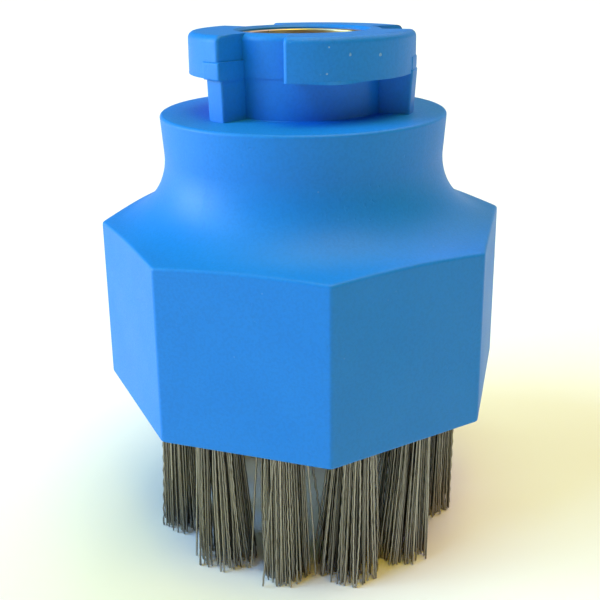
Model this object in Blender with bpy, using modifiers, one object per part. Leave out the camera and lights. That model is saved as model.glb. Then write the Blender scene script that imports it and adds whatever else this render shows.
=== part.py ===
"""A round wire brush head that locks onto a lance with a three-lug bayonet.

One moulded body has an eight-sided grip, a flared neck and a hollow boss with the lugs. A brass sleeve lines the bore.
A drilled carrier inside the grip holds a ring of wire tufts, each folded over its own flat anchor.

Metres, +Z up. The origin is on the axis, in the plane of the wire tips, on which the brush stands.
Bearings are in degrees about +Z, counted from -Y towards +X.
"""

import math

import bmesh
import bpy
from mathutils import Matrix, Vector

# Driving dimensions of the moulded body
WIRE_REACH = 0.0236  # wire tips to the grip's lower edge
GRIP_HEIGHT = 0.0241
NECK_HEIGHT = 0.0151  # grip's upper corners to the neck's top face
SLOT_HEIGHT = 0.00525  # neck's top face to the lugs' undersides
LUG_HEIGHT = 0.00525

GRIP_SIDES = 8
GRIP_LOWER_CORNER = 0.0300  # axis to corner
GRIP_UPPER_CORNER = 0.0291
GRIP_EDGE_ROUND = 0.0005

NECK_RIM_RADIUS = 0.0197
NECK_WAIST_RADIUS = 0.01945
NECK_RIM_ROUND = 0.0005
FLARE_ROUND = 0.0093  # radius of the hollow curve under the neck
FLARE_END_SLOPE = math.radians(9)

# The bayonet
BOSS_RADIUS = 0.0110
LUG_RADIUS = 0.01535
LUG_EDGE_ROUND = 0.0008
LUG_COUNT = 3
LUG_START = 8.1
LUG_SPAN = 85.8
POST_RADIUS = 0.0150
POST_SPAN = 12.6
POST_PROUD = 1.0  # how far the post stands past the lug's end
BAND_RADIUS = 0.01555  # of the post's upper end, which laps the lug
BAND_HEIGHT = 0.0021
BAND_PROUD = 0.5
PARTING_STEP = 0.0001  # where the mould's halves meet, level with the lugs' undersides

# The bore and the hollow inside
BORE_RADIUS = 0.00885
BORE_CHAMFER = 0.0003
ROOF_THICKNESS = 0.0035
CHAMBER_NECK_RADIUS = 0.0162
CHAMBER_GRIP_RADIUS = 0.0226
CHAMBER_CONE_RISE = 0.0023  # how far the cone between those two reaches above the grip's top
CHAMBER_CONE_DROP = 0.0057  # and below it
POCKET_RADIUS = 0.0252
POCKET_DEPTH = 0.0116

# The pieces held inside
FIT_GAP = 0.0003
SLEEVE_WALL = 0.00075
SLEEVE_RECESS = 0.0005
SLEEVE_FLANGE_RADIUS = 0.0106
SLEEVE_FLANGE_THICKNESS = 0.0008
CARRIER_RECESS = 0.0010
CARRIER_INNER_RADIUS = 0.0125

TUFT_COUNT = 13
TUFT_START = 7.67
TUFT_CIRCLE = 0.0205
TUFT_HOLE_RADIUS = 0.00325
TUFT_HOLE_DEPTH = 0.0075
TUFT_ROOT_DEPTH = 0.0053
TUFT_TIP_RADIUS = 0.0040
ANCHOR_LENGTH = 0.0058
ANCHOR_HEIGHT = 0.0015
ANCHOR_THICKNESS = 0.0005

# How finely round shapes are divided
TURN_STEPS = 72
HOLE_STEPS = 16
DEGREES_PER_STEP = 5
OVERLAP = 0.0010  # how far joined shapes and cutters run into or past each other

# Heights that follow
GRIP_BOTTOM = WIRE_REACH
GRIP_TOP = GRIP_BOTTOM + GRIP_HEIGHT
NECK_TOP = GRIP_TOP + NECK_HEIGHT
LUG_BOTTOM = NECK_TOP + SLOT_HEIGHT
BODY_TOP = LUG_BOTTOM + LUG_HEIGHT
ROOF_BOTTOM = NECK_TOP - ROOF_THICKNESS
CHAMBER_NECK_END = GRIP_TOP + CHAMBER_CONE_RISE
CHAMBER_GRIP_START = GRIP_TOP - CHAMBER_CONE_DROP
POCKET_TOP = GRIP_BOTTOM + POCKET_DEPTH
CARRIER_BOTTOM = GRIP_BOTTOM + CARRIER_RECESS
CARRIER_TOP = POCKET_TOP - FIT_GAP
TUFT_TOP = CARRIER_BOTTOM + TUFT_ROOT_DEPTH


def clear_scene():
    for old in list(bpy.data.objects):
        bpy.data.objects.remove(old, do_unlink=True)


def collection(name):
    made = bpy.data.collections.new(name)
    bpy.context.scene.collection.children.link(made)
    return made


def material(name, colour, roughness, metallic):
    made = bpy.data.materials.new(name)
    made.use_nodes = True
    shader = made.node_tree.nodes["Principled BSDF"]
    shader.inputs["Base Color"].default_value = (*colour, 1.0)
    shader.inputs["Roughness"].default_value = roughness
    shader.inputs["Metallic"].default_value = metallic
    return made


def smooth(mesh):
    mesh.shade_smooth()
    mesh.set_sharp_from_angle(angle=math.radians(30))


def object_from(bm, name, group):
    bmesh.ops.recalc_face_normals(bm, faces=bm.faces)
    mesh = bpy.data.meshes.new(name)
    bm.to_mesh(mesh)
    bm.free()
    made = bpy.data.objects.new(name, mesh)
    group.objects.link(made)
    return made


def make_cutter(obj):
    obj.hide_render = True
    obj.display_type = "WIRE"
    return obj


def on_circle(radius, bearing, height=0.0):
    angle = math.radians(bearing)
    return Vector((radius * math.sin(angle), -radius * math.cos(angle), height))


def arc(centre, radius, first, last, steps):
    """Points (r, z) of an arc from angle first to angle last, in degrees, counted from +r towards +z."""
    angles = [math.radians(first + (last - first) * i / steps) for i in range(steps + 1)]
    return [(centre[0] + radius * math.cos(a), centre[1] + radius * math.sin(a)) for a in angles]


def turned(name, profile, group, steps=TURN_STEPS, closed=False):
    """Turns a profile of (r, z) points about Z. It runs down the outer side, and a closed one comes back up inside."""
    mesh = bpy.data.meshes.new(name)
    edges = [(i, i + 1) for i in range(len(profile) - 1)]
    if closed:
        edges.append((len(profile) - 1, 0))
    mesh.from_pydata([(r, 0.0, z) for r, z in profile], edges, [])
    made = bpy.data.objects.new(name, mesh)
    group.objects.link(made)
    screw = made.modifiers.new("Turn", "SCREW")
    screw.axis = "Z"
    screw.angle = math.tau
    screw.steps = steps
    screw.render_steps = steps
    screw.use_merge_vertices = True
    screw.merge_threshold = 0.00001
    return made


def sector(name, profile, start, span, group):
    """Sweeps a closed outline of (r, z) points about Z, from the bearing start through span degrees."""
    bm = bmesh.new()
    corners = [bm.verts.new(on_circle(r, start, z)) for r, z in profile]
    face = bm.faces.new(corners)
    bmesh.ops.spin(
        bm,
        geom=[face],
        cent=(0, 0, 0),
        axis=(0, 0, 1),
        angle=math.radians(span),
        steps=max(3, round(span / DEGREES_PER_STEP)),
        use_duplicate=False,
    )
    return make_cutter(object_from(bm, name, group))


def drum(name, lower_radius, upper_radius, bottom, top, sides, group, first_corner=0.0):
    """A straight or drafted prism with its axis on Z, its first corner at the bearing given."""
    bm = bmesh.new()
    bmesh.ops.create_cone(
        bm,
        cap_ends=True,
        segments=sides,
        radius1=lower_radius,
        radius2=upper_radius,
        depth=top - bottom,
        matrix=Matrix.Translation((0, 0, (top + bottom) / 2)) @ Matrix.Rotation(math.radians(first_corner), 4, "Z"),
    )
    return object_from(bm, name, group)


def combine(obj, other, operation):
    boolean = obj.modifiers.new(other.name, "BOOLEAN")
    boolean.operation = operation
    boolean.solver = "EXACT"
    boolean.object = other


def finish(obj, look):
    """Applies the modifiers, so that the piece is one plain mesh, and gives it its material."""
    graph = bpy.context.evaluated_depsgraph_get()
    mesh = bpy.data.meshes.new_from_object(obj.evaluated_get(graph))
    obj.modifiers.clear()
    obj.data = mesh
    mesh.name = obj.name
    mesh.materials.clear()
    mesh.materials.append(look)
    smooth(mesh)


def flare_centre():
    """The centre (r, z) of the hollow curve that leads from the neck's waist out to the grip's upper corners."""
    curve_width = FLARE_ROUND * (1 - math.sin(FLARE_END_SLOPE))
    straight_width = GRIP_UPPER_CORNER - NECK_WAIST_RADIUS - curve_width
    drop = FLARE_ROUND * math.cos(FLARE_END_SLOPE) + straight_width * math.tan(FLARE_END_SLOPE)
    return NECK_WAIST_RADIUS + FLARE_ROUND, GRIP_TOP + drop


def turned_outside(cutters):
    """The turned outside, from the lugs down. The grip's prism and the gaps between the lugs are cut from it."""
    lug_edge = (LUG_RADIUS - LUG_EDGE_ROUND, BODY_TOP - LUG_EDGE_ROUND)
    rim = (NECK_RIM_RADIUS - NECK_RIM_ROUND, NECK_TOP - NECK_RIM_ROUND)
    outermost = GRIP_LOWER_CORNER + 2 * OVERLAP
    end_height = GRIP_TOP - (outermost - GRIP_UPPER_CORNER) * math.tan(FLARE_END_SLOPE)
    profile = [(0.0, BODY_TOP), *arc(lug_edge, LUG_EDGE_ROUND, 90, 0, 4)]
    profile += [(LUG_RADIUS, LUG_BOTTOM), (BOSS_RADIUS, LUG_BOTTOM), (BOSS_RADIUS, NECK_TOP)]
    profile += arc(rim, NECK_RIM_ROUND, 90, 0, 3)
    profile += arc(flare_centre(), FLARE_ROUND, 180, 270 - math.degrees(FLARE_END_SLOPE), 12)
    profile += [(outermost, end_height), (outermost, GRIP_BOTTOM - OVERLAP), (0.0, GRIP_BOTTOM - OVERLAP)]
    return make_cutter(turned("turned_outside", profile, cutters))


def lug_gap(i, cutters):
    """The gap after lug i. It leaves the boss a little thicker than below the parting plane, with its edge rounded."""
    radius = BOSS_RADIUS + PARTING_STEP
    edge = (radius - LUG_EDGE_ROUND, BODY_TOP - LUG_EDGE_ROUND)
    outline = [(radius, LUG_BOTTOM - OVERLAP), *arc(edge, LUG_EDGE_ROUND, 0, 90, 4)]
    outline += [(edge[0], BODY_TOP + OVERLAP), (LUG_RADIUS + OVERLAP, BODY_TOP + OVERLAP)]
    outline += [(LUG_RADIUS + OVERLAP, LUG_BOTTOM - OVERLAP)]
    pitch = 360 / LUG_COUNT
    return sector(f"gap_{i + 1}", outline, LUG_START + pitch * i + LUG_SPAN, pitch - LUG_SPAN, cutters)


def upright(name, radius, bottom, top, start, span, cutters):
    inner = BOSS_RADIUS - OVERLAP
    outline = [(inner, top), (radius, top), (radius, bottom), (inner, bottom)]
    return sector(name, outline, start, span, cutters)


def stop_post(i, cutters):
    """The post under the far end of lug i, and the band at its top, which laps the lug's lower half."""
    start = LUG_START + 360 / LUG_COUNT * i + LUG_SPAN + POST_PROUD - POST_SPAN
    post_top = LUG_BOTTOM + OVERLAP
    band_bottom = LUG_BOTTOM - PARTING_STEP
    post = upright(f"post_{i + 1}", POST_RADIUS, NECK_TOP - OVERLAP, post_top, start, POST_SPAN, cutters)
    band_top = LUG_BOTTOM + BAND_HEIGHT
    band_start = start + BAND_PROUD
    band = upright(f"band_{i + 1}", BAND_RADIUS, band_bottom, band_top, band_start, POST_SPAN, cutters)
    return post, band


def hollow(cutters):
    """The bore, the chamber below it that follows the neck's outside, and the pocket for the carrier."""
    profile = [
        (0.0, BODY_TOP + OVERLAP),
        (BORE_RADIUS + BORE_CHAMFER + OVERLAP, BODY_TOP + OVERLAP),
        (BORE_RADIUS, BODY_TOP - BORE_CHAMFER),
        (BORE_RADIUS, ROOF_BOTTOM),
        (CHAMBER_NECK_RADIUS, ROOF_BOTTOM),
        (CHAMBER_NECK_RADIUS, CHAMBER_NECK_END),
        (CHAMBER_GRIP_RADIUS, CHAMBER_GRIP_START),
        (CHAMBER_GRIP_RADIUS, POCKET_TOP),
        (POCKET_RADIUS, POCKET_TOP),
        (POCKET_RADIUS, GRIP_BOTTOM - OVERLAP),
        (0.0, GRIP_BOTTOM - OVERLAP),
    ]
    return make_cutter(turned("hollow", profile, cutters))


def moulded_body(parts, cutters, look):
    draft = (GRIP_LOWER_CORNER - GRIP_UPPER_CORNER) / GRIP_HEIGHT
    top = BODY_TOP + OVERLAP
    upper = GRIP_LOWER_CORNER - draft * (top - GRIP_BOTTOM)
    half_side = 180 / GRIP_SIDES
    body = drum("moulded_body", GRIP_LOWER_CORNER, upper, GRIP_BOTTOM, top, GRIP_SIDES, parts, half_side)
    bevel = body.modifiers.new("Corners", "BEVEL")
    bevel.width = GRIP_EDGE_ROUND
    bevel.segments = 2
    bevel.limit_method = "ANGLE"
    bevel.angle_limit = math.radians(30)
    combine(body, turned_outside(cutters), "INTERSECT")
    for i in range(LUG_COUNT):
        combine(body, lug_gap(i, cutters), "DIFFERENCE")
        for shape in stop_post(i, cutters):
            combine(body, shape, "UNION")
    combine(body, hollow(cutters), "DIFFERENCE")
    finish(body, look)


def brass_sleeve(parts, look):
    outer = BORE_RADIUS - FIT_GAP
    inner = outer - SLEEVE_WALL
    top = BODY_TOP - SLEEVE_RECESS
    flange_top = ROOF_BOTTOM - FIT_GAP
    flange_bottom = flange_top - SLEEVE_FLANGE_THICKNESS
    lead_in = 0.0002
    profile = [
        (inner + lead_in, top),
        (outer, top),
        (outer, flange_top),
        (SLEEVE_FLANGE_RADIUS, flange_top),
        (SLEEVE_FLANGE_RADIUS, flange_bottom),
        (inner, flange_bottom),
        (inner, top - lead_in),
    ]
    finish(turned("brass_sleeve", profile, parts, closed=True), look)


def tuft_bearings():
    return [TUFT_START + 360 / TUFT_COUNT * i for i in range(TUFT_COUNT)]


def tuft_carrier(parts, cutters, look):
    outer = POCKET_RADIUS - FIT_GAP
    profile = [
        (CARRIER_INNER_RADIUS, CARRIER_TOP),
        (outer, CARRIER_TOP),
        (outer, CARRIER_BOTTOM),
        (CARRIER_INNER_RADIUS, CARRIER_BOTTOM),
    ]
    carrier = turned("tuft_carrier", profile, parts, closed=True)
    for i, bearing in enumerate(tuft_bearings()):
        top = CARRIER_BOTTOM + TUFT_HOLE_DEPTH
        bottom = CARRIER_BOTTOM - OVERLAP
        hole = drum(f"hole_{i + 1:02d}", TUFT_HOLE_RADIUS, TUFT_HOLE_RADIUS, bottom, top, HOLE_STEPS, cutters)
        hole.location = on_circle(TUFT_CIRCLE, bearing)
        combine(carrier, make_cutter(hole), "DIFFERENCE")
    finish(carrier, look)


def wire_tufts(parts, look):
    """Each tuft is the envelope of its wires: straight in its hole, and spreading from there to the tips."""
    root = TUFT_HOLE_RADIUS - FIT_GAP
    profile = [(0.0, TUFT_TOP), (root, TUFT_TOP), (root, CARRIER_BOTTOM), (TUFT_TIP_RADIUS, 0.0), (0.0, 0.0)]
    for i, bearing in enumerate(tuft_bearings()):
        tuft = turned(f"wire_tuft_{i + 1:02d}", profile, parts, steps=HOLE_STEPS)
        finish(tuft, look)
        tuft.location = on_circle(TUFT_CIRCLE, bearing)


def tuft_anchors(parts, look):
    """The flat anchors stand across the folds, above the tufts, square to the line from the axis."""
    bottom = TUFT_TOP + FIT_GAP
    for i, bearing in enumerate(tuft_bearings()):
        bm = bmesh.new()
        size = Matrix.Diagonal((ANCHOR_LENGTH, ANCHOR_THICKNESS, ANCHOR_HEIGHT, 1))
        bmesh.ops.create_cube(bm, size=1.0, matrix=size)
        anchor = object_from(bm, f"tuft_anchor_{i + 1:02d}", parts)
        anchor.location = on_circle(TUFT_CIRCLE, bearing, bottom + ANCHOR_HEIGHT / 2)
        anchor.rotation_euler.z = math.radians(bearing)
        anchor.data.materials.append(look)


def main():
    clear_scene()
    parts = collection("wire_brush_head")
    cutters = collection("cutters")
    moulded_body(parts, cutters, material("blue_plastic", (0.02, 0.19, 0.66), 0.42, 0.0))
    brass_sleeve(parts, material("brass", (0.60, 0.43, 0.16), 0.25, 1.0))
    tuft_carrier(parts, cutters, material("grey_plastic", (0.05, 0.055, 0.065), 0.60, 0.0))
    wire_tufts(parts, material("crimped_wire", (0.32, 0.31, 0.26), 0.38, 1.0))
    tuft_anchors(parts, material("anchor_wire", (0.45, 0.45, 0.45), 0.35, 1.0))


main()
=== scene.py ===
"""The finished round wire brush head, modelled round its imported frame.

The frame's solids give every place and size. The moulded body, the brass sleeve, the carrier, the anchors and the wire
tufts are each rebuilt here with their real edges, draft and surface, and stand for the solid of the same name.

Metres, +Z up, origin on the axis in the plane of the wire tips. A bearing is in degrees about +Z, from -Y towards +X.
"""

import logging
import math
import random
from collections.abc import Callable
from dataclasses import dataclass, field
from enum import Enum

import bmesh
import bpy
import numpy as np
from mathutils import Matrix, Vector


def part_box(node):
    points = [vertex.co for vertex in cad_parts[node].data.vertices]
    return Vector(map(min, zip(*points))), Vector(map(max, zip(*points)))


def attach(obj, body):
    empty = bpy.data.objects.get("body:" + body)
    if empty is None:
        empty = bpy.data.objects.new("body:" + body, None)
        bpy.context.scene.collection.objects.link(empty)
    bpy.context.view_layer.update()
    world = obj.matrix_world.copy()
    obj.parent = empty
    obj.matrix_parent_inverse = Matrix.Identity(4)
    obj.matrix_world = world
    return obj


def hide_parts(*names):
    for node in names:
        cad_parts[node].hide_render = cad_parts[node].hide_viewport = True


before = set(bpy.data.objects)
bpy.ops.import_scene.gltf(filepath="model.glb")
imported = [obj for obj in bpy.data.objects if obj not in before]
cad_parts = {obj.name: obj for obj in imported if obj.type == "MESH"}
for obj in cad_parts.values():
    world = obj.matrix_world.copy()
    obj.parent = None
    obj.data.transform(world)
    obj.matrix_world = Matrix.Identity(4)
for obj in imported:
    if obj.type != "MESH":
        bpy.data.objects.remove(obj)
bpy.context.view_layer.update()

log = logging.getLogger("brush_head")

Outline = list[tuple[float, float]]
MILLIMETRE = 0.001
WELD = 0.000002
PAST = 0.001


class Join(Enum):
    """What a tool shape does to the piece that it is applied to."""

    ADD = "UNION"
    CUT = "DIFFERENCE"


# --------------------------------------
# Modelling tools
# --------------------------------------


def on_circle(radius: float, bearing: float, height: float = 0.0) -> Vector:
    """Gives a point by its place round the axis.

    Args:
        radius: Distance from the axis.
        bearing: Bearing in degrees.
        height: Height above the wire tips.

    Returns:
        The point.
    """
    angle = math.radians(bearing)
    return Vector((radius * math.sin(angle), -radius * math.cos(angle), height))


def arc(centre: tuple[float, float], radius: float, first: float, last: float, steps: int) -> Outline:
    """Gives the (r, z) points of an arc in a profile.

    Args:
        centre: The arc's centre, (r, z).
        radius: The arc's radius.
        first: The first angle in degrees, from +r towards +z.
        last: The last angle.
        steps: How many chords the arc has.

    Returns:
        The points, both ends included.
    """
    angles = [math.radians(first + (last - first) * i / steps) for i in range(steps + 1)]
    return [(centre[0] + radius * math.cos(a), centre[1] + radius * math.sin(a)) for a in angles]


def clear_selection() -> None:
    """Leaves edit mode and deselects everything."""
    if bpy.context.mode != "OBJECT":
        bpy.ops.object.mode_set(mode="OBJECT")
    bpy.ops.object.select_all(action="DESELECT")


def take(piece: bpy.types.Object) -> None:
    """Selects one piece alone and makes it active."""
    clear_selection()
    piece.select_set(True)
    bpy.context.view_layer.objects.active = piece


def apply_place(piece: bpy.types.Object) -> None:
    """Moves the piece's place into its mesh."""
    take(piece)
    bpy.ops.object.transform_apply(location=True, rotation=True, scale=True)


def weld(piece: bpy.types.Object) -> None:
    """Merges doubled points."""
    take(piece)
    bpy.ops.object.mode_set(mode="EDIT")
    bpy.ops.mesh.select_all(action="SELECT")
    bpy.ops.mesh.remove_doubles(threshold=WELD)
    bpy.ops.object.mode_set(mode="OBJECT")


def mend(piece: bpy.types.Object) -> None:
    """Merges doubled points and turns every face outwards."""
    weld(piece)
    bpy.ops.object.mode_set(mode="EDIT")
    bpy.ops.mesh.normals_make_consistent(inside=False)
    bpy.ops.object.mode_set(mode="OBJECT")


def select_edges(piece: bpy.types.Object, wanted: Callable[[bmesh.types.BMEdge], bool]) -> int:
    """Selects, in edit mode, the edges that pass a test.

    Args:
        piece: The piece, which is in edit mode.
        wanted: The test.

    Returns:
        How many edges were selected.
    """
    bpy.ops.mesh.select_all(action="DESELECT")
    bpy.ops.mesh.select_mode(type="EDGE")
    bm = bmesh.from_edit_mesh(piece.data)
    chosen = [edge for edge in bm.edges if wanted(edge)]
    for edge in chosen:
        edge.select = True
    bmesh.update_edit_mesh(piece.data)
    return len(chosen)


def is_sharp(edge: bmesh.types.BMEdge, degrees: float) -> bool:
    """Says whether an edge's two faces meet at more than so many degrees."""
    return len(edge.link_faces) == 2 and edge.calc_face_angle(0.0) > math.radians(degrees)


def round_edges(
    piece: bpy.types.Object, wanted: Callable[[bmesh.types.BMEdge], bool], width: float, segments: int = 3
) -> None:
    """Bevels the edges that pass a test.

    Args:
        piece: The piece to work on.
        wanted: The test for an edge.
        width: How far the round reaches from the edge.
        segments: How many strips it has.
    """
    take(piece)
    bpy.ops.object.mode_set(mode="EDIT")
    if select_edges(piece, wanted):
        bpy.ops.mesh.bevel(offset=width, offset_type="OFFSET", segments=segments, profile=0.5, affect="EDGES")
    bpy.ops.object.mode_set(mode="OBJECT")


def lay_outline(name: str, outline: Outline, bearing: float) -> bpy.types.Object:
    """Draws a profile as a chain of points in the upright plane at a bearing, and stays in edit mode.

    Args:
        name: Name of the new object.
        outline: The (r, z) points in order.
        bearing: Bearing of the plane.

    Returns:
        The object, in edit mode, with its last point selected.
    """
    clear_selection()
    points = [on_circle(r, bearing, z) for r, z in outline]
    bpy.ops.mesh.primitive_plane_add(size=MILLIMETRE, location=points[0])
    piece = bpy.context.object
    piece.name = name
    bpy.ops.object.transform_apply(location=True, rotation=True, scale=True)
    bpy.ops.object.mode_set(mode="EDIT")
    bpy.ops.mesh.select_mode(type="VERT")
    bpy.ops.mesh.select_all(action="SELECT")
    bpy.ops.mesh.merge(type="CENTER")
    for here, there in zip(points, points[1:]):
        bpy.ops.mesh.extrude_vertices_move(TRANSFORM_OT_translate={"value": there - here})
    return piece


def spin(span: float, steps: int) -> None:
    """Spins what is selected about the axis, towards rising bearings."""
    bpy.ops.mesh.spin(steps=steps, angle=-math.radians(span), center=(0, 0, 0), axis=(0, 0, 1))


def turn(name: str, outline: Outline, steps: int, closed: bool = False) -> bpy.types.Object:
    """Makes a turned piece from its profile.

    Args:
        name: Name of the new object.
        outline: The (r, z) points, down the outer side.
        steps: How many sides the round has.
        closed: True if the profile comes back up inside, as a ring's does.

    Returns:
        The piece.
    """
    points = [*outline, outline[0]] if closed else outline
    piece = lay_outline(name, points, 90.0)
    bpy.ops.mesh.select_all(action="SELECT")
    spin(360.0, steps)
    bpy.ops.object.mode_set(mode="OBJECT")
    mend(piece)
    return piece


def sweep(name: str, outline: Outline, start: float, span: float, steps: int) -> bpy.types.Object:
    """Makes a block that a closed outline sweeps round part of the axis.

    Args:
        name: Name of the new object.
        outline: The corners (r, z) of the outline.
        start: First bearing.
        span: Degrees swept.
        steps: How many chords the sweep has.

    Returns:
        The block.
    """
    piece = lay_outline(name, outline, start)
    bpy.ops.mesh.select_all(action="SELECT")
    bpy.ops.mesh.edge_face_add()
    spin(span, steps)
    bpy.ops.object.mode_set(mode="OBJECT")
    mend(piece)
    return piece


def bend(first: tuple[float, float], corner: tuple[float, float], last: tuple[float, float], steps: int) -> Outline:
    """Gives a round from one point to another, which leaves and meets the two lines through a corner.

    Args:
        first: The first point, (r, z).
        corner: Where the two lines meet.
        last: The last point.
        steps: How many chords the round has.

    Returns:
        The points, both ends included.
    """
    points = []
    for i in range(steps + 1):
        t = i / steps
        shares = ((1 - t) ** 2, 2 * t * (1 - t), t**2)
        points.append(tuple(sum(s * p[axis] for s, p in zip(shares, (first, corner, last))) for axis in (0, 1)))
    return points


def wrap(name: str, bearings: list[float], outlines: list[Outline]) -> bpy.types.Object:
    """Makes a closed skin from a grid whose columns follow upright outlines round the axis.

    Args:
        name: Name of the new object.
        bearings: The bearing of each column.
        outlines: The (r, z) points of each column, from the axis over the outside and back to the axis.

    Returns:
        The skin.
    """
    columns, rows = len(outlines), len(outlines[0])
    clear_selection()
    bpy.ops.mesh.primitive_grid_add(x_subdivisions=columns, y_subdivisions=rows - 1, size=1.0)
    piece = bpy.context.object
    piece.name = name
    for corner in piece.data.vertices:
        column = round((corner.co.x + 0.5) * columns) % columns
        row = round((0.5 - corner.co.y) * (rows - 1))
        r, z = outlines[column][row]
        corner.co = on_circle(r, bearings[column], z)
    mend(piece)
    return piece


def apply_tool(piece: bpy.types.Object, tool: bpy.types.Object, join: Join) -> None:
    """Joins a tool shape to a piece, or cuts with it, and removes the tool.

    Args:
        piece: The piece.
        tool: The tool shape.
        join: What the tool does.
    """
    take(piece)
    bpy.ops.object.modifier_add(type="BOOLEAN")
    boolean = piece.modifiers[-1]
    boolean.operation = join.value
    boolean.solver = "MANIFOLD"
    boolean.object = tool
    bpy.ops.object.modifier_apply(modifier=boolean.name)
    bpy.data.objects.remove(tool, do_unlink=True)


def shade(piece: bpy.types.Object, degrees: float = 35.0) -> None:
    """Shades a piece smooth across shallow edges, with its large faces kept flat.

    Args:
        piece: The piece.
        degrees: Edges sharper than this stay sharp.
    """
    take(piece)
    bpy.ops.object.shade_smooth_by_angle(angle=math.radians(degrees))
    bpy.ops.object.modifier_add(type="WEIGHTED_NORMAL")
    weighted = piece.modifiers[-1]
    weighted.keep_sharp = True
    bpy.ops.object.modifier_apply(modifier=weighted.name)


def dress(piece: bpy.types.Object, finish: bpy.types.Material, slot: str, *nodes: str) -> None:
    """Gives a finished piece its material, its body and the nodes that it stands for.

    Args:
        piece: The piece.
        finish: Its material.
        slot: The record's material slot; not used.
        nodes: The CAD nodes that it replaces.
    """
    piece.data.materials.clear()
    piece.data.materials.append(finish)
    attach(piece, "root")
    if nodes:
        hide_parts(*nodes)
    log.info("%s: %d faces, stands for %s", piece.name, len(piece.data.polygons), ", ".join(nodes) or "nothing")


# --------------------------------------
# Finishes
# --------------------------------------


class NodeSheet:
    """A new node material, with short ways to add to it."""

    def __init__(self, name: str) -> None:
        """Starts the material with its Principled shader and the object's coordinates."""
        self.material = bpy.data.materials.new(name)
        self.material.use_nodes = True
        self.tree = self.material.node_tree
        self.shader = self.tree.nodes["Principled BSDF"]
        self.place = self.add("ShaderNodeTexCoord").outputs["Object"]

    def add(self, kind: str, **settings: object) -> bpy.types.ShaderNode:
        """Adds a node and sets its own properties."""
        node = self.tree.nodes.new(kind)
        for key, value in settings.items():
            setattr(node, key, value)
        return node

    def link(self, output: bpy.types.NodeSocket, target: bpy.types.NodeSocket) -> None:
        """Links an output to an input."""
        self.tree.links.new(output, target)

    def set(self, **values: object) -> None:
        """Sets the shader's own inputs by name, with underscores for spaces."""
        for key, value in values.items():
            self.shader.inputs[key.replace("_", " ")].default_value = value

    def noise(self, scale: float, detail: float = 2.0) -> bpy.types.NodeSocket:
        """Gives a noise from 0 to 1, with so many cells per metre and octaves."""
        node = self.add("ShaderNodeTexNoise")
        node.inputs["Scale"].default_value = scale
        node.inputs["Detail"].default_value = detail
        self.link(self.place, node.inputs["Vector"])
        return node.outputs["Fac"]

    def remap(
        self, value: bpy.types.NodeSocket, low: float, high: float, to_low: float, to_high: float
    ) -> bpy.types.NodeSocket:
        """Maps a value from one range to another, held at both ends."""
        node = self.add("ShaderNodeMapRange", clamp=True)
        self.link(value, node.inputs["Value"])
        for key, number in (("From Min", low), ("From Max", high), ("To Min", to_low), ("To Max", to_high)):
            node.inputs[key].default_value = number
        return node.outputs["Result"]

    def combine(
        self, operation: str, first: bpy.types.NodeSocket, second: bpy.types.NodeSocket | float
    ) -> bpy.types.NodeSocket:
        """Does one step of arithmetic on a value and another value or a number."""
        node = self.add("ShaderNodeMath", operation=operation)
        self.link(first, node.inputs[0])
        if isinstance(second, float):
            node.inputs[1].default_value = second
        else:
            self.link(second, node.inputs[1])
        return node.outputs["Value"]

    def blend(
        self, amount: bpy.types.NodeSocket, first: tuple[float, ...] | bpy.types.NodeSocket, second: tuple[float, ...]
    ) -> bpy.types.NodeSocket:
        """Blends from a colour to another.

        Args:
            amount: 0 for the first colour, 1 for the second.
            first: A colour, or a colour output.
            second: A colour.

        Returns:
            The blended colour.
        """
        node = self.add("ShaderNodeMix", data_type="RGBA")
        self.link(amount, node.inputs["Factor"])
        if isinstance(first, tuple):
            node.inputs["A"].default_value = (*first, 1.0)
        else:
            self.link(first, node.inputs["A"])
        node.inputs["B"].default_value = (*second, 1.0)
        return node.outputs["Result"]

    def vary_roughness(self, value: bpy.types.NodeSocket, low: float, high: float) -> None:
        """Makes the roughness go from one value to another where a noise goes from 0.3 to 0.7."""
        self.link(self.remap(value, 0.3, 0.7, low, high), self.shader.inputs["Roughness"])

    def bump(self, height: bpy.types.NodeSocket, depth: float, strength: float = 1.0) -> None:
        """Adds a bump of a depth in metres on top of those already there.

        Args:
            height: Height from 0 to 1.
            depth: What 1 stands for.
            strength: How much of it shows.
        """
        node = self.add("ShaderNodeBump")
        node.inputs["Strength"].default_value = strength
        node.inputs["Distance"].default_value = depth
        self.link(height, node.inputs["Height"])
        before = self.shader.inputs["Normal"].links
        if before:
            self.link(before[0].from_socket, node.inputs["Normal"])
        self.link(node.outputs["Normal"], self.shader.inputs["Normal"])

    def spot(self, centre: Vector, radius: float) -> bpy.types.NodeSocket:
        """Gives 1 inside a small ball round a point and 0 outside it, with a ragged edge."""
        distance = self.add("ShaderNodeVectorMath", operation="DISTANCE")
        self.link(self.place, distance.inputs[0])
        distance.inputs[1].default_value = centre
        ragged = self.remap(self.noise(4500.0), 0.3, 0.7, -0.35 * radius, 0.35 * radius)
        return self.remap(self.combine("ADD", distance.outputs["Value"], ragged), 0.8 * radius, radius, 1.0, 0.0)


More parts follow.
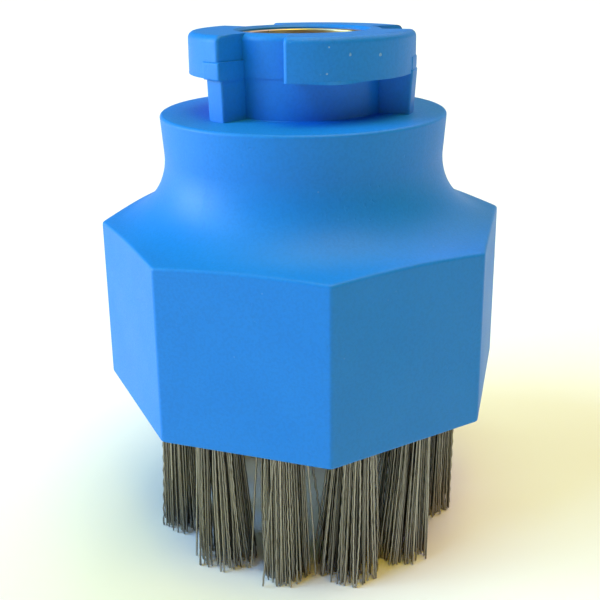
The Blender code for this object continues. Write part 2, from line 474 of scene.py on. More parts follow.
@dataclass(frozen=True)
class MouldedPlastic:
    """A moulded plastic skin: fine matt grain, faint mottling, dust and small marks."""

    name: str
    colour: tuple[float, float, float]
    pale: tuple[float, float, float]
    roughness: float
    grain_depth: float = 0.000012
    dust: float = 0.15
    specks: tuple[tuple[float, float, float, float], ...] = ()

    def make(self) -> bpy.types.Material:
        """Builds the material."""
        sheet = NodeSheet(self.name)
        mottle = sheet.remap(sheet.noise(140.0, 3.0), 0.35, 0.65, 0.0, 0.22)
        colour = sheet.blend(mottle, self.colour, self.pale)
        grain = sheet.noise(5200.0, 3.0)
        ripple = sheet.noise(420.0, 2.0)
        colour = sheet.blend(sheet.remap(grain, 0.5, 0.8, 0.0, 0.10), colour, self.pale)
        flecks = sheet.noise(2600.0, 2.0)
        colour = sheet.blend(sheet.remap(flecks, 0.42, 0.62, 0.0, 0.16), colour, tuple(0.6 * c for c in self.colour))

        cells = sheet.add("ShaderNodeTexVoronoi")
        cells.inputs["Scale"].default_value = 420.0
        sheet.link(sheet.place, cells.inputs["Vector"])
        sparse = sheet.remap(sheet.noise(95.0, 1.0), 0.56, 0.60, 0.0, 1.0)
        dots = sheet.remap(cells.outputs["Distance"], 0.035, 0.055, 1.0, 0.0)
        dust = sheet.combine("MULTIPLY", sheet.combine("MULTIPLY", dots, sparse), 0.55 * self.dust)
        colour = sheet.blend(dust, colour, (0.62, 0.72, 0.78))
        for radius, bearing, height, size in self.specks:
            mark = sheet.spot(on_circle(radius, bearing, height), size)
            colour = sheet.blend(sheet.combine("MULTIPLY", mark, 0.38), colour, (0.42, 0.62, 0.72))
            sheet.bump(mark, 0.00004)
        sheet.link(colour, sheet.shader.inputs["Base Color"])

        patches = sheet.remap(sheet.noise(60.0, 3.0), 0.3, 0.7, -0.05, 0.05)
        fine = sheet.remap(grain, 0.3, 0.7, self.roughness - 0.06, self.roughness + 0.06)
        sheet.link(sheet.combine("ADD", fine, patches), sheet.shader.inputs["Roughness"])
        sheet.set(Specular_IOR_Level=0.36, IOR=1.49)
        sheet.bump(ripple, 0.00003, 0.5)
        sheet.bump(grain, self.grain_depth)
        scuffs = sheet.remap(sheet.noise(1500.0, 1.0), 0.70, 0.74, 0.0, 1.0)
        sheet.bump(sheet.combine("MULTIPLY", scuffs, sparse), -0.00003)
        return sheet.material


@dataclass(frozen=True)
class TurnedBrass:
    """Dulled brass with the fine rings that a lathe leaves."""

    name: str = "turned_brass"
    colour: tuple[float, float, float] = (0.66, 0.52, 0.27)
    tarnish: tuple[float, float, float] = (0.44, 0.33, 0.17)
    roughness: float = 0.32

    def make(self) -> bpy.types.Material:
        """Builds the material."""
        sheet = NodeSheet(self.name)
        dull = sheet.remap(sheet.noise(260.0, 4.0), 0.45, 0.75, 0.0, 0.55)
        sheet.link(sheet.blend(dull, self.colour, self.tarnish), sheet.shader.inputs["Base Color"])
        sheet.vary_roughness(sheet.noise(700.0, 3.0), self.roughness - 0.05, self.roughness + 0.14)
        rings = sheet.add("ShaderNodeTexWave", wave_type="BANDS", bands_direction="Z")
        rings.inputs["Scale"].default_value = 900.0
        rings.inputs["Distortion"].default_value = 0.6
        sheet.link(sheet.place, rings.inputs["Vector"])
        sheet.bump(rings.outputs["Fac"], 0.0000015)
        sheet.set(Metallic=1.0)
        return sheet.material


@dataclass(frozen=True)
class CrimpedWire:
    """Drawn steel wire: each wire has its own tone, painted darker inside the tuft as shade, with dull drawn streaks
    and a little tarnish.
    """

    name: str = "crimped_wire"
    dark: tuple[float, float, float] = (0.035, 0.035, 0.034)
    bright: tuple[float, float, float] = (0.43, 0.40, 0.34)
    tarnish: tuple[float, float, float] = (0.10, 0.085, 0.065)
    roughness: float = 0.36

    def make(self) -> bpy.types.Material:
        """Builds the material."""
        sheet = NodeSheet(self.name)
        tone = sheet.add("ShaderNodeAttribute", attribute_name="tone").outputs["Fac"]
        # The tone attribute holds random tone and painted shade: its low end is the shade inside the tuft.
        colour = sheet.blend(tone, self.dark, self.bright)
        stained = sheet.remap(sheet.noise(900.0, 3.0), 0.55, 0.75, 0.0, 0.6)
        sheet.link(sheet.blend(stained, colour, self.tarnish), sheet.shader.inputs["Base Color"])
        streaks = sheet.noise(2600.0, 2.0)
        sheet.vary_roughness(streaks, self.roughness - 0.08, self.roughness + 0.10)
        sheet.bump(streaks, 0.000006)
        sheet.set(Metallic=1.0)
        return sheet.material


@dataclass(frozen=True)
class FlatSteel:
    """The rolled steel strip of the anchors."""

    name: str = "rolled_strip"
    colour: tuple[float, float, float] = (0.50, 0.50, 0.49)
    roughness: float = 0.34

    def make(self) -> bpy.types.Material:
        """Builds the material."""
        sheet = NodeSheet(self.name)
        stain = sheet.remap(sheet.noise(800.0, 3.0), 0.5, 0.8, 0.0, 0.5)
        sheet.link(sheet.blend(stain, self.colour, (0.26, 0.22, 0.17)), sheet.shader.inputs["Base Color"])
        rolled = sheet.noise(3000.0, 2.0)
        sheet.vary_roughness(rolled, self.roughness - 0.06, self.roughness + 0.08)
        sheet.bump(rolled, 0.000005)
        sheet.set(Metallic=1.0)
        return sheet.material


@dataclass(frozen=True)
class StudioPaper:
    """The plain pale paper that the brush stands on."""

    name: str = "studio_paper"
    colour: tuple[float, float, float] = (0.93, 0.91, 0.85)

    def make(self) -> bpy.types.Material:
        """Builds the material."""
        sheet = NodeSheet(self.name)
        sheet.set(Base_Color=(*self.colour, 1.0), Roughness=0.9, Specular_IOR_Level=0.2)
        return sheet.material


# --------------------------------------
# The moulded body
# --------------------------------------


@dataclass
class MouldedBody:
    """The blue moulding: an eight-sided grip, a flared neck and a hollow boss with three bayonet lugs."""

    finish: MouldedPlastic
    bottom: float
    top: float
    grip_height: float = 0.0241
    neck_height: float = 0.0151
    slot_height: float = 0.00525
    sides: int = 8
    side_steps: int = 14
    corner_reach: float = 0.00035
    lower_corner: float = 0.0300
    upper_corner: float = 0.0291
    edge_round: float = 0.00045
    rim_radius: float = 0.0197
    waist_radius: float = 0.01945
    rim_round: float = 0.00045
    flare_round: float = 0.0093
    flare_end_slope: float = 9.0
    boss_radius: float = 0.0110
    boss_foot_round: float = 0.00012
    parting_step: float = 0.00012
    lug_radius: float = 0.01535
    lug_draft: float = 0.00012
    lug_edge_round: float = 0.0009
    lug_count: int = 3
    lug_start: float = 8.1
    lug_span: float = 85.8
    post_radius: float = 0.0150
    front_post_radius: float = 0.01555
    front_band_radius: float = 0.0154
    post_span: float = 12.6
    post_edge_round: float = 0.00026
    post_proud: float = 1.0
    band_radius: float = 0.01555
    band_height: float = 0.0021
    band_proud: float = 0.5
    bore_radius: float = 0.00885
    bore_chamfer: float = 0.0003
    roof_thickness: float = 0.0035
    chamber_neck_radius: float = 0.0162
    chamber_grip_radius: float = 0.0226
    chamber_cone_rise: float = 0.0023
    chamber_cone_drop: float = 0.0057
    pocket_radius: float = 0.0252
    pocket_depth: float = 0.0116
    pocket_lead: float = 0.0004
    flare_steps: int = 22
    lug_end_round: float = 0.00042
    flash_lean: float = 0.014
    flash_span: float = 66.0
    flash_depth: float = 0.0001
    front_flash_depth: float = 0.0003
    name: str = "blue_body"
    grip_top: float = field(init=False)
    neck_top: float = field(init=False)
    lug_bottom: float = field(init=False)

    def __post_init__(self) -> None:
        """Works out the heights between the bottom and the top."""
        self.grip_top = self.bottom + self.grip_height
        self.neck_top = self.grip_top + self.neck_height
        self.lug_bottom = self.neck_top + self.slot_height

    def plan(self) -> list[tuple[float, float]]:
        """Gives the bearing of each column, and its distance from the axis as a share of the corner radius."""
        reach = self.corner_reach / self.lower_corner
        pitch = 360.0 / self.sides
        corners = [on_circle(1.0, pitch * (k + 0.5)) for k in range(self.sides)]
        places = []
        for k, corner in enumerate(corners):
            to_last = (corners[k - 1] - corner).normalized() * reach
            to_next = (corners[(k + 1) % self.sides] - corner).normalized() * reach
            quarters = [i / 4 for i in range(5)]
            places += [corner + to_last * (1 - t) ** 2 + to_next * t**2 for t in quarters]
            leave, arrive = corner + to_next, corners[(k + 1) % self.sides] - to_next
            places += [leave.lerp(arrive, i / self.side_steps) for i in range(1, self.side_steps)]
        return [(math.degrees(math.atan2(place.x, -place.y)), place.length) for place in places]

    def corner_radius(self, height: float) -> float:
        """Gives the drafted prism's corner radius at a height."""
        widening = (self.lower_corner - self.upper_corner) * (self.grip_top - height) / self.grip_height
        return self.upper_corner + widening

    def flare_place(self, length: float) -> tuple[float, float]:
        """Gives the (r, z) point at a length along the flare, down from the neck's waist."""
        slope = math.radians(self.flare_end_slope)
        full = math.pi / 2 - slope
        straight = self.upper_corner - self.waist_radius - self.flare_round * (1 - math.sin(slope))
        waist_height = self.grip_top + self.flare_round * math.cos(slope) + straight * math.tan(slope)
        angle = min(length / self.flare_round, full)
        rest = max(0.0, length - self.flare_round * full)
        return (
            self.waist_radius + self.flare_round * (1 - math.cos(angle)) + rest * math.cos(slope),
            waist_height - self.flare_round * math.sin(angle) - rest * math.sin(slope),
        )

    def flare_length(self, share: float) -> float:
        """Gives the flare's length in one column, down to where it meets the prism's side."""
        short, long = 0.0, self.lower_corner
        for _ in range(40):
            middle = (short + long) / 2
            r, z = self.flare_place(middle)
            if r < share * self.corner_radius(z):
                short = middle
            else:
                long = middle
        return short

    def outline(self, share: float) -> Outline:
        """Gives one column's outline, from the lugs' end faces down to the grip's lower face.

        Args:
            share: The column's distance from the axis as a share of the corner radius.

        Returns:
            The (r, z) points.
        """
        lug_top = self.lug_radius - self.lug_draft
        lug_edge = (lug_top - self.lug_edge_round, self.top - self.lug_edge_round)
        foot = (self.boss_radius + self.boss_foot_round, self.neck_top + self.boss_foot_round)
        rim = (self.rim_radius - self.rim_round, self.neck_top - self.rim_round)
        points = [(0.0, self.top), *arc(lug_edge, self.lug_edge_round, 90, 0, 8)]
        points += [(self.lug_radius, self.lug_bottom), (self.boss_radius, self.lug_bottom)]
        points += arc(foot, self.boss_foot_round, 180, 270, 4)
        points += arc(rim, self.rim_round, 90, 0, 5)
        length = self.flare_length(share)
        steps = self.flare_steps
        flare = [self.flare_place((length - self.edge_round) * i / steps) for i in range(steps + 1)]
        shoulder = self.flare_place(length)
        below = shoulder[1] - self.edge_round
        face = (share * self.corner_radius(below), below)
        points += [*flare[:-1], *bend(flare[-1], shoulder, face, 4)]
        low = (share * self.lower_corner, self.bottom)
        above = self.bottom + self.edge_round
        points += bend((share * self.corner_radius(above), above), low, (low[0] - self.edge_round, low[1]), 3)
        return [*points, (0.0, self.bottom)]

    def outside(self) -> bpy.types.Object:
        """Makes the outside of the whole moulding, before the gaps between the lugs are cut."""
        plan = self.plan()
        return wrap(self.name, [bearing for bearing, _ in plan], [self.outline(share) for _, share in plan])

    def cut_lug_gap(self, piece: bpy.types.Object, start: float) -> None:
        """Cuts the gap between two lugs, with the boss's own edge rounded in it, and rounds the lugs' ends.

        Args:
            piece: The body.
            start: Bearing of the gap's first side.
        """
        radius = self.boss_radius + self.parting_step
        edge = (radius - self.lug_edge_round, self.top - self.lug_edge_round)
        outer = self.lug_radius + PAST
        outline = [(radius, self.lug_bottom - PAST), *arc(edge, self.lug_edge_round, 0, 90, 6)]
        outline += [(edge[0], self.top + PAST), (outer, self.top + PAST), (outer, self.lug_bottom - PAST)]
        span = 360.0 / self.lug_count - self.lug_span
        apply_tool(piece, sweep("gap", outline, start, span, 14), Join.CUT)
        sides = [on_circle(1.0, start), on_circle(1.0, start + span)]

        def on_end(edge: bmesh.types.BMEdge) -> bool:
            """Says whether an edge bounds one of the two end faces, on its outside or top."""
            if not is_sharp(edge, 40.0):
                return False
            ends = [corner.co for corner in edge.verts]
            if any(end.z < self.lug_bottom - WELD or end.xy.length < radius + WELD for end in ends):
                return False
            if all(abs(end.z - self.lug_bottom) < WELD for end in ends):
                return False
            return any(all(end.cross(side).z ** 2 < 1e-12 and end.dot(side) > 0 for end in ends) for side in sides)

        round_edges(piece, on_end, self.lug_end_round, 3)

    def upright(self, outer: float, low: float, high: float, start: float, draft: float) -> bpy.types.Object:
        """Makes a post or a band: an upright block against the boss, with its outer edges rounded.

        Args:
            outer: Outer radius at its top.
            low: Its lower end.
            high: Its upper end.
            start: First bearing.
            draft: How much the outer radius falls by the lower end.

        Returns:
            The block.
        """
        inner = self.boss_radius - PAST
        outline = [(inner, high), (outer, high), (outer - draft, low), (inner, low)]
        block = sweep("upright", outline, start, self.post_span, 6)

        def outside(edge: bmesh.types.BMEdge) -> bool:
            """Says whether an edge is a sharp one on the outer side."""
            return is_sharp(edge, 40.0) and all(end.co.xy.length > self.post_radius - PAST for end in edge.verts)

        round_edges(block, outside, self.post_edge_round, 3)
        return block

    def flash(self, start: float, span: float, depth: float, seed: int) -> bpy.types.Object:
        """Makes the thin fin that the mould squeezes out along a lug's lower edge, deepest a third of the way along.

        Args:
            start: First bearing.
            span: Degrees along the edge.
            depth: How far it hangs at most.
            seed: Seed for its uneven edge.

        Returns:
            The fin.
        """
        outer = self.lug_radius + 0.00001
        inner = outer - 0.0002
        base = self.lug_bottom + 0.00015
        hang = self.lug_bottom - 0.00001
        steps = 60
        fin = sweep("flash", [(inner, base), (outer, base), (outer, hang), (inner, hang)], start, span, steps)
        chance = random.Random(seed)
        waves = [(chance.uniform(5.0, 23.0), chance.uniform(0.0, math.tau)) for _ in range(5)]
        for corner in fin.data.vertices:
            if corner.co.z < self.lug_bottom:
                along = (math.degrees(math.atan2(corner.co.x, -corner.co.y)) - start) % 360.0 / span
                swell = math.exp(-(((along - 0.32) / 0.13) ** 2))
                uneven = 0.5 + 0.1 * sum(math.sin(rate * along + phase) for rate, phase in waves)
                fade = min(1.0, 12.0 * along, 12.0 * (1 - along))
                corner.co.z -= depth * (0.75 * swell + 0.25 * uneven * fade)
                corner.co.xy *= 1.0 + self.flash_lean * swell
        return fin

    def hollow(self) -> bpy.types.Object:
        """Makes the shape of the bore, the chamber under it and the carrier's pocket."""
        mouth = self.bore_radius + self.bore_chamfer + PAST
        pocket_top = self.bottom + self.pocket_depth
        roof = self.neck_top - self.roof_thickness
        outline = [(0.0, self.top + PAST), (mouth, self.top + PAST), (self.bore_radius, self.top - self.bore_chamfer)]
        outline += [(self.bore_radius, roof), (self.chamber_neck_radius, roof)]
        outline += [(self.chamber_neck_radius, self.grip_top + self.chamber_cone_rise)]
        outline += [(self.chamber_grip_radius, self.grip_top - self.chamber_cone_drop)]
        outline += [(self.chamber_grip_radius, pocket_top), (self.pocket_radius, pocket_top)]
        lead = self.pocket_lead
        outline += [(self.pocket_radius, self.bottom + lead), (self.pocket_radius + lead + PAST, self.bottom - PAST)]
        outline += [(0.0, self.bottom - PAST)]
        return turn("hollow", outline, 128)

    def build(self) -> bpy.types.Object:
        """Builds and dresses the body.

        Returns:
            The finished body.
        """
        piece = self.outside()
        pitch = 360.0 / self.lug_count
        for i in range(self.lug_count):
            start = self.lug_start + pitch * i
            self.cut_lug_gap(piece, start + self.lug_span)
        for i in range(self.lug_count):
            end = self.lug_start + pitch * i + self.lug_span
            post_start = end + self.post_proud - self.post_span
            low, high = self.neck_top - PAST / 2, self.lug_bottom + PAST / 2
            post_radius, draft = (self.front_post_radius, 0.0003) if i == 0 else (self.post_radius, 0.0001)
            apply_tool(piece, self.upright(post_radius, low, high, post_start, draft), Join.ADD)
            band_start = post_start + self.band_proud
            low, high = self.lug_bottom - self.parting_step, self.lug_bottom + self.band_height
            band_radius = self.front_band_radius if i == 0 else self.band_radius
            apply_tool(piece, self.upright(band_radius, low, high, band_start, 0.0), Join.ADD)
            depth = self.front_flash_depth if i == 0 else self.flash_depth
            apply_tool(piece, self.flash(end - self.lug_span + 3.0, self.flash_span, depth, seed=5 + i), Join.ADD)
        apply_tool(piece, self.hollow(), Join.CUT)
        weld(piece)
        shade(piece)
        dress(piece, self.finish.make(), "blue_plastic", "moulded_body")
        return piece


# --------------------------------------
# The pieces inside the body
# --------------------------------------


@dataclass
class BrassSleeve:
    """The turned sleeve that lines the bore, with a flange under the body's roof."""

    finish: TurnedBrass
    low: Vector
    high: Vector
    fit_gap: float = 0.0003
    bore: float = 0.0078
    shank: float = 0.00855
    flange_thickness: float = 0.0008
    edge: float = 0.00022

    def build(self) -> bpy.types.Object:
        """Builds and dresses the sleeve."""
        top, bottom, flange = self.high.z, self.low.z, self.high.x
        shank = self.shank + self.fit_gap - 0.00003
        shoulder = bottom + self.flange_thickness
        lip = (self.bore + self.edge, top - self.edge)
        outline = [*arc(lip, self.edge, 180, 90, 4), (shank - 0.0001, top), (shank, top - 0.0001)]
        outline += [(shank, shoulder + 0.0002), (shank - 0.00015, shoulder), (flange - 0.0002, shoulder)]
        outline += [(flange, shoulder - 0.0002), (flange, bottom + 0.0002), (flange - 0.0002, bottom)]
        outline += [(self.bore + 0.0004, bottom), (self.bore, bottom + 0.0004)]
        for height in (0.30, 0.62):
            groove = bottom + (top - bottom) * height
            outline += [(self.bore, groove - 0.0001), (self.bore + 0.00008, groove), (self.bore, groove + 0.0001)]
        piece = turn("bore_sleeve", outline, 128, closed=True)
        shade(piece)
        dress(piece, self.finish.make(), "brass", "brass_sleeve")
        return piece


@dataclass
class TuftCarrier:
    """The drilled ring that holds the tufts."""

    finish: MouldedPlastic
    low: Vector
    high: Vector
    bearings: list[float]
    inner_radius: float = 0.0125
    hole_circle: float = 0.0205
    hole_radius: float = 0.00325
    hole_depth: float = 0.0075
    drill_point: float = 0.0008
    edge: float = 0.0004
    countersink: float = 0.00022
    groove_height: float = 0.0030
    groove_width: float = 0.0016

    def drill(self) -> Outline:
        """Gives the profile of one hole, with its countersink and the drill's point."""
        mouth = self.low.z
        end = mouth + self.hole_depth - self.drill_point
        point = (0.0, mouth + self.hole_depth)
        sink = self.hole_radius + self.countersink
        wall = [(self.hole_radius, end), (self.hole_radius, mouth + self.countersink)]
        return [point, *wall, (sink, mouth), (sink, mouth - PAST), (0.0, mouth - PAST)]

    def build(self) -> bpy.types.Object:
        """Builds and dresses the carrier."""
        outer, inner, edge = self.high.x, self.inner_radius, self.edge
        top, bottom = self.high.z, self.low.z
        groove, width = bottom + self.groove_height, self.groove_width
        outline = [(inner + edge, top), (outer - edge, top), (outer, top - edge), (outer, bottom + edge)]
        outline += [(outer - edge, bottom), (inner + edge, bottom), (inner, bottom + edge), (inner, groove)]
        outline += [(inner + edge, groove + edge), (inner + edge, groove + width - edge)]
        outline += [(inner, groove + width), (inner, top - edge)]
        piece = turn("tuft_ring", outline, 128, closed=True)
        for bearing in self.bearings:
            bit = turn("bit", self.drill(), 28)
            bit.location = on_circle(self.hole_circle, bearing)
            apply_place(bit)
            apply_tool(piece, bit, Join.CUT)
        weld(piece)
        shade(piece)
        dress(piece, self.finish.make(), "grey_plastic", "tuft_carrier")
        return piece


@dataclass(frozen=True)
class Stray:
    """A strand that stands out of its tuft.

    Its places are (sideways, outwards) from the tuft's middle; sideways is towards rising bearings.
    """

    root: tuple[float, float]
    tip: tuple[float, float]
    height: float = 0.0003


@dataclass(frozen=True)
class Habit:
    """How one tuft stands: where its tips lean, how far they fan, and which strands stand out of it."""

    sideways: float = 0.0
    outwards: float = 0.0
    fan: float = 1.0
    strays: tuple[Stray, ...] = ()


@dataclass
class WireTufts:
    """The ring of crimped-wire tufts, each with a flat anchor in its own hole."""

    finish: CrimpedWire
    strip: FlatSteel
    bearings: list[float]
    habits: dict[int, Habit]
    top: float
    circle: float = 0.0205
    mouth: float = 0.0246
    root_radius: float = 0.0029
    tip_radius: float = 0.00365
    wire_radius: float = 0.00014
    strands: int = 140
    crimp_length: float = 0.00215
    crimp_depths: tuple[float, ...] = (0.00001, 0.00002, 0.00003, 0.00004, 0.00005, 0.00008)
    points_per_crimp: float = 3.4
    inner_points: int = 6
    detailed_share: float = 0.72
    anchor_length: float = 0.0058
    anchor_thickness: float = 0.0005
    anchor_waist: float = 0.12

    def strand(
        self, chance: random.Random, root: Vector, tip: Vector, tip_height: float, detailed: bool
    ) -> list[Vector]:
        """Gives the path of one strand, in the tuft's own place: x sideways, y inwards.

        Args:
            chance: The tuft's random draws.
            root: Where it leaves its hole.
            tip: Where it ends.
            tip_height: How far its end is above the lowest tips.
            detailed: True for a strand on the tuft's outside, which shows its crimps.

        Returns:
            The points from the root down to the tip.
        """
        length = self.mouth - tip_height
        crimps = length / self.crimp_length
        count = round(crimps * self.points_per_crimp) if detailed else self.inner_points
        plane = chance.uniform(0.0, math.pi)
        sway = Vector((math.cos(plane), math.sin(plane), 0.0))
        phase = chance.uniform(0.0, math.tau)
        depth = chance.choice(self.crimp_depths)
        stretch = chance.uniform(0.94, 1.06)
        bow = Vector((chance.gauss(0.0, 0.00016), chance.gauss(0.0, 0.00016), 0.0))
        path = [root * 0.9 + Vector((0.0, 0.0, self.top))]
        for i in range(count + 1):
            t = i / count
            hold = min(1.0, t * 12.0)
            wave = sway * depth * hold * math.sin(math.tau * crimps * stretch * t + phase)
            middle = root.lerp(tip, t) + bow * math.sin(math.pi * t)
            path.append(middle + wave + Vector((0.0, 0.0, self.mouth - length * t)))
        return path

    def paths(self, index: int, chance: random.Random) -> list[list[Vector]]:
        """Gives the paths of all the strands of one tuft.

        Args:
            index: Which tuft, from 0.
            chance: The tuft's random draws.

        Returns:
            The paths.
        """
        habit = self.habits.get(index)
        if habit is None:
            habit = Habit(chance.gauss(0.0, 0.0004), chance.gauss(0.0, 0.0002), chance.uniform(1.08, 1.24))
        turn_step = math.pi * (3.0 - math.sqrt(5.0))
        spread = self.tip_radius / self.root_radius * habit.fan
        paths = []
        for number in range(self.strands):
            share = math.sqrt((number + 0.5) / self.strands)
            angle = number * turn_step + chance.uniform(-0.35, 0.35)
            root = Vector((math.cos(angle), math.sin(angle), 0.0)) * share * self.root_radius
            tip = root * spread * chance.uniform(0.93, 1.03) + Vector((habit.sideways, -habit.outwards, 0.0))
            tip += Vector((chance.gauss(0.0, 0.00017), chance.gauss(0.0, 0.00017), 0.0))
            short = abs(chance.gauss(0.0, 0.00007))
            if chance.random() < 0.03:
                short += chance.uniform(0.0002, 0.0011)
            paths.append(self.strand(chance, root, tip, 0.0001 + short, share > self.detailed_share))
        for stray in habit.strays:
            root, tip = (Vector((side, -out, 0.0)) for side, out in (stray.root, stray.tip))
            paths.append(self.strand(chance, root, tip, stray.height, True))
        return paths

    def tuft(self, index: int) -> bpy.types.Object:
        """Builds one tuft as bevelled wire curves, made one mesh.

        Args:
            index: Which tuft, from 0.

        Returns:
            The tuft.
        """
        chance = random.Random(1000 + 17 * index)
        curve = bpy.data.curves.new("wires", "CURVE")
        curve.dimensions = "3D"
        curve.bevel_depth = self.wire_radius
        curve.bevel_resolution = 0
        curve.use_fill_caps = True
        sizes = []
        for path in self.paths(index, chance):
            spline = curve.splines.new("POLY")
            spline.points.add(len(path) - 1)
            spline.points.foreach_set("co", [value for point in path for value in (*point, 1.0)])
            sizes.append(len(path))
        piece = bpy.data.objects.new(f"tuft_{index + 1:02d}", curve)
        bpy.context.collection.objects.link(piece)
        take(piece)
        bpy.ops.object.convert(target="MESH")
        bearing = self.bearings[index]
        facing = Matrix.Rotation(math.radians(bearing), 4, "Z")
        piece.matrix_world = Matrix.Translation(on_circle(self.circle, bearing)) @ facing
        apply_place(piece)
        self.set_tones(piece, sizes, chance)
        bpy.ops.object.shade_smooth()
        return piece

    def set_tones(self, piece: bpy.types.Object, sizes: list[int], chance: random.Random) -> None:
        """Gives each strand its own tone, as a point attribute: random, kept dark inside the tuft as painted shade
        between the wires, brighter outside.

        Args:
            piece: The tuft's mesh.
            sizes: How many path points each wire has.
            chance: The tuft's random draws.
        """
        per_point = len(piece.data.vertices) / sum(sizes)
        # Painted shade: the strands inside the tuft take only the dark end of the tones, for the shade between the
        # wires.
        painted_shade_strands = self.strands * self.detailed_share**2
        ranges = [(0.0, 0.35) if i < painted_shade_strands else (0.35, 1.0) for i in range(len(sizes))]
        tones = [chance.uniform(*limits) for limits in ranges]
        counts = [round(size * per_point) for size in sizes]
        values = np.repeat(np.array(tones, np.float32), counts)[: len(piece.data.vertices)]
        tone = piece.data.attributes.new("tone", "FLOAT", "POINT")
        tone.data.foreach_set("value", np.resize(values, len(piece.data.vertices)))

    def anchor(self, index: int, material: bpy.types.Material) -> bpy.types.Object:
        """Builds the anchor of one tuft: a strip with rounded edges and a shallow waist where the wires fold over it.

        Args:
            index: Which tuft, from 0.
            material: The strip's material.

        Returns:
            The anchor.
        """
        node = f"tuft_anchor_{index + 1:02d}"
        low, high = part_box(node)
        bearing = self.bearings[index]
        length, thickness, height = self.anchor_length, self.anchor_thickness, high.z - low.z
        clear_selection()
        bpy.ops.mesh.primitive_cube_add(size=1.0)
        piece = bpy.context.object
        piece.name = f"anchor_{index + 1:02d}"
        piece.scale = (length, thickness, height)
        bpy.ops.object.transform_apply(location=True, rotation=True, scale=True)
        bpy.ops.object.mode_set(mode="EDIT")
        bpy.ops.mesh.select_all(action="SELECT")
        bpy.ops.mesh.subdivide(number_cuts=3)
        select_edges(piece, lambda e: all(abs(end.co.x) < length / 3 and end.co.z < -height / 3 for end in e.verts))
        bpy.ops.transform.translate(value=(0.0, 0.0, height * self.anchor_waist))
        bpy.ops.object.mode_set(mode="OBJECT")
        round_edges(piece, lambda edge: is_sharp(edge, 60.0), 0.00006, 2)
        piece.rotation_euler.z = math.radians(bearing)
        piece.location = on_circle(self.circle, bearing, (low.z + high.z) / 2)
        apply_place(piece)
        shade(piece)
        dress(piece, material, "anchor_wire", node)
        return piece

    def build(self) -> list[bpy.types.Object]:
        """Builds and dresses every tuft and anchor.

        Returns:
            The tufts.
        """
        wire = self.finish.make()
        strip = self.strip.make()
        tufts = []
        for index in range(len(self.bearings)):
            piece = self.tuft(index)
            dress(piece, wire, "crimped_wire", f"wire_tuft_{index + 1:02d}")
            tufts.append(piece)
            self.anchor(index, strip)
        return tufts


# --------------------------------------
# The studio
# --------------------------------------


@dataclass(frozen=True)
class Lamp:
    """One soft far light, placed by the bearing and elevation that it shines from."""

    name: str
    bearing: float
    elevation: float
    strength: float
    colour: tuple[float, float, float]
    softness: float = 34.0

    def build(self) -> None:
        """Adds the light."""
        data = bpy.data.lights.new(self.name, "SUN")
        data.energy = self.strength
        data.angle = math.radians(self.softness)
        data.color = self.colour
        light = bpy.data.objects.new(self.name, data)
        elevation = math.radians(self.elevation)
        towards = on_circle(math.cos(elevation), self.bearing, math.sin(elevation))
        light.rotation_euler = towards.to_track_quat("Z", "Y").to_euler()
        bpy.context.scene.collection.objects.link(light)


@dataclass
class Studio:
    """The camera, the lights and the paper."""

    paper: StudioPaper
    lamps: tuple[Lamp, ...]
    camera_distance: float = 0.10954
    camera_bearing: float = 16.67
    camera_height: float = 0.07995
    tilt: float = 22.79
    swing: float = -0.396
    roll: float = -0.754
    lens: float = 46.48
    room_colour: tuple[float, float, float] = (0.14, 0.10, 0.05)
    wall_colour: tuple[float, float, float] = (0.84, 0.81, 0.72)
    wall_height: float = 0.105
    wall_fade: float = 0.02

    def camera(self) -> None:
        """Sets up the camera."""
        data = bpy.data.cameras.new("camera")
        data.lens = self.lens
        data.clip_start = 0.005
        camera = bpy.data.objects.new("camera", data)
        bpy.context.scene.collection.objects.link(camera)
        camera.rotation_mode = "QUATERNION"
        heading = Matrix.Rotation(math.radians(self.camera_bearing - self.swing), 4, "Z")
        pitch = Matrix.Rotation(math.radians(90.0 - self.tilt), 4, "X")
        twist = Matrix.Rotation(math.radians(self.roll), 4, "Z")
        camera.location = on_circle(self.camera_distance, self.camera_bearing, self.camera_height)
        camera.rotation_quaternion = (heading @ pitch @ twist).to_quaternion()
        bpy.context.scene.camera = camera

    def lights(self) -> None:
        """Sets up the lamps and the room: a pale wall low down, and faint light above it."""
        for lamp in self.lamps:
            lamp.build()
        world = bpy.data.worlds.new("room")
        world.use_nodes = True
        tree = world.node_tree
        direction = tree.nodes.new("ShaderNodeTexCoord").outputs["Generated"]
        height = tree.nodes.new("ShaderNodeSeparateXYZ")
        tree.links.new(direction, height.inputs["Vector"])
        ramp = tree.nodes.new("ShaderNodeValToRGB")
        tree.links.new(height.outputs["Z"], ramp.inputs["Fac"])
        places = (self.wall_height, self.wall_height + self.wall_fade)
        for stop, place, colour in zip(ramp.color_ramp.elements, places, (self.wall_colour, self.room_colour)):
            stop.position = place
            stop.color = (*colour, 1.0)
        tree.links.new(ramp.outputs["Color"], tree.nodes["Background"].inputs["Color"])
        bpy.context.scene.world = world
        bpy.context.scene.view_settings.view_transform = "Standard"

    def floor(self) -> None:
        """Lays the paper."""
        clear_selection()
        bpy.ops.mesh.primitive_plane_add(size=40.0, location=(0, 0, 0))
        floor = bpy.context.object
        floor.name = "paper"
        floor.data.materials.append(self.paper.make())

    def build(self) -> None:
        """Sets up the whole studio."""
        self.camera()
        self.lights()
        self.floor()


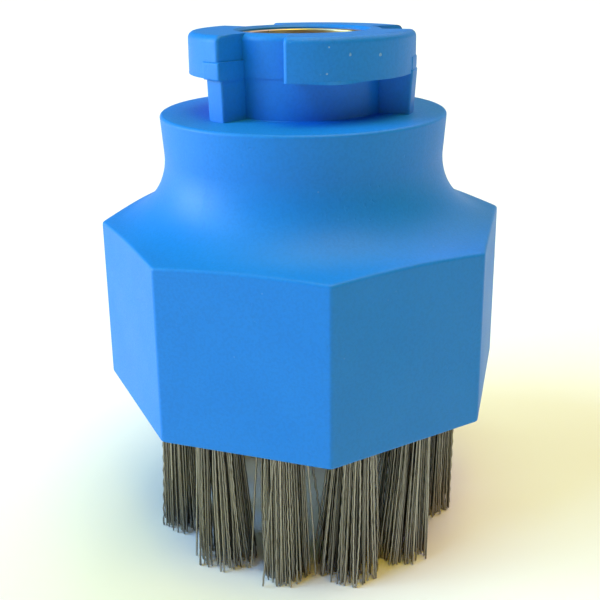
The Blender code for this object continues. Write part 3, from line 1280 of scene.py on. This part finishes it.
def main() -> None:
    """Builds the brush head and its studio."""
    logging.basicConfig(level=logging.INFO, format="%(name)s: %(message)s")
    body_low, body_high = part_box("moulded_body")
    tuft_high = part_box("wire_tuft_01")[1]
    count = sum(name.startswith("wire_tuft_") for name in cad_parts)
    bearings = [7.67 + 360.0 / count * i for i in range(count)]

    lug_face = 0.01535
    blue = MouldedPlastic(
        name="blue_moulding",
        colour=(0.002, 0.200, 0.67),
        pale=(0.008, 0.235, 0.74),
        roughness=0.50,
        specks=(
            (lug_face, 38.5, body_high.z - 0.0021, 0.00022),
            (lug_face, 54.5, body_high.z - 0.0024, 0.00024),
            (lug_face, 27.5, body_high.z - 0.0042, 0.00015),
            (lug_face, 28.5, body_high.z - 0.0012, 0.00015),
        ),
    )
    MouldedBody(blue, body_low.z, body_high.z).build()
    BrassSleeve(TurnedBrass(), *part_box("brass_sleeve")).build()
    grey = MouldedPlastic("grey_moulding", (0.028, 0.032, 0.040), (0.045, 0.050, 0.060), 0.55, dust=0.4)
    TuftCarrier(grey, *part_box("tuft_carrier"), bearings).build()
    habits = {
        0: Habit(
            0.0002,
            0.0005,
            0.96,
            (
                Stray((-0.0031, 0.0006), (-0.0047, 0.0016), 0.0011),
                Stray((-0.0004, 0.0030), (-0.0025, 0.0044)),
                Stray((0.0031, 0.0010), (0.0046, 0.0014), 0.0006),
                Stray((0.0029, -0.0006), (0.0058, -0.0010), 0.0007),
            ),
        ),
        1: Habit(-0.0007, 0.0003, 1.28, (Stray((-0.0030, -0.0006), (-0.0052, -0.0022), 0.0016),)),
        2: Habit(-0.0022, 0.0006, 1.18),
        3: Habit(0.0, 0.0, 0.96, (Stray((-0.0022, 0.0012), (-0.0038, 0.0012), 0.0004),)),
        12: Habit(0.0004, 0.0002, 1.26),
        11: Habit(-0.0002, 0.0006, 1.04, (Stray((-0.0030, 0.0004), (-0.0046, 0.0008), 0.0012),)),
        10: Habit(0.0, 0.0, 0.96),
    }
    WireTufts(CrimpedWire(), FlatSteel(), bearings, habits, tuft_high.z).build()
    Studio(
        StudioPaper(),
        lamps=(
            Lamp("low_left", -75.0, 12.0, 2.6, (0.74, 1.0, 0.98)),
            Lamp("left", -55.0, 40.0, 2.35, (0.24, 0.50, 1.0)),
            Lamp("zenith", 0.0, 90.0, 1.1, (0.62, 1.0, 0.36), 40.0),
            Lamp("warm_right", 60.0, 70.0, 1.25, (1.0, 0.66, 0.06)),
            Lamp("back_top", 150.0, 50.0, 1.5, (0.62, 0.58, 1.0), 60.0),
        ),
    ).build()

    clear_selection()


if __name__ == "__main__":
    main()
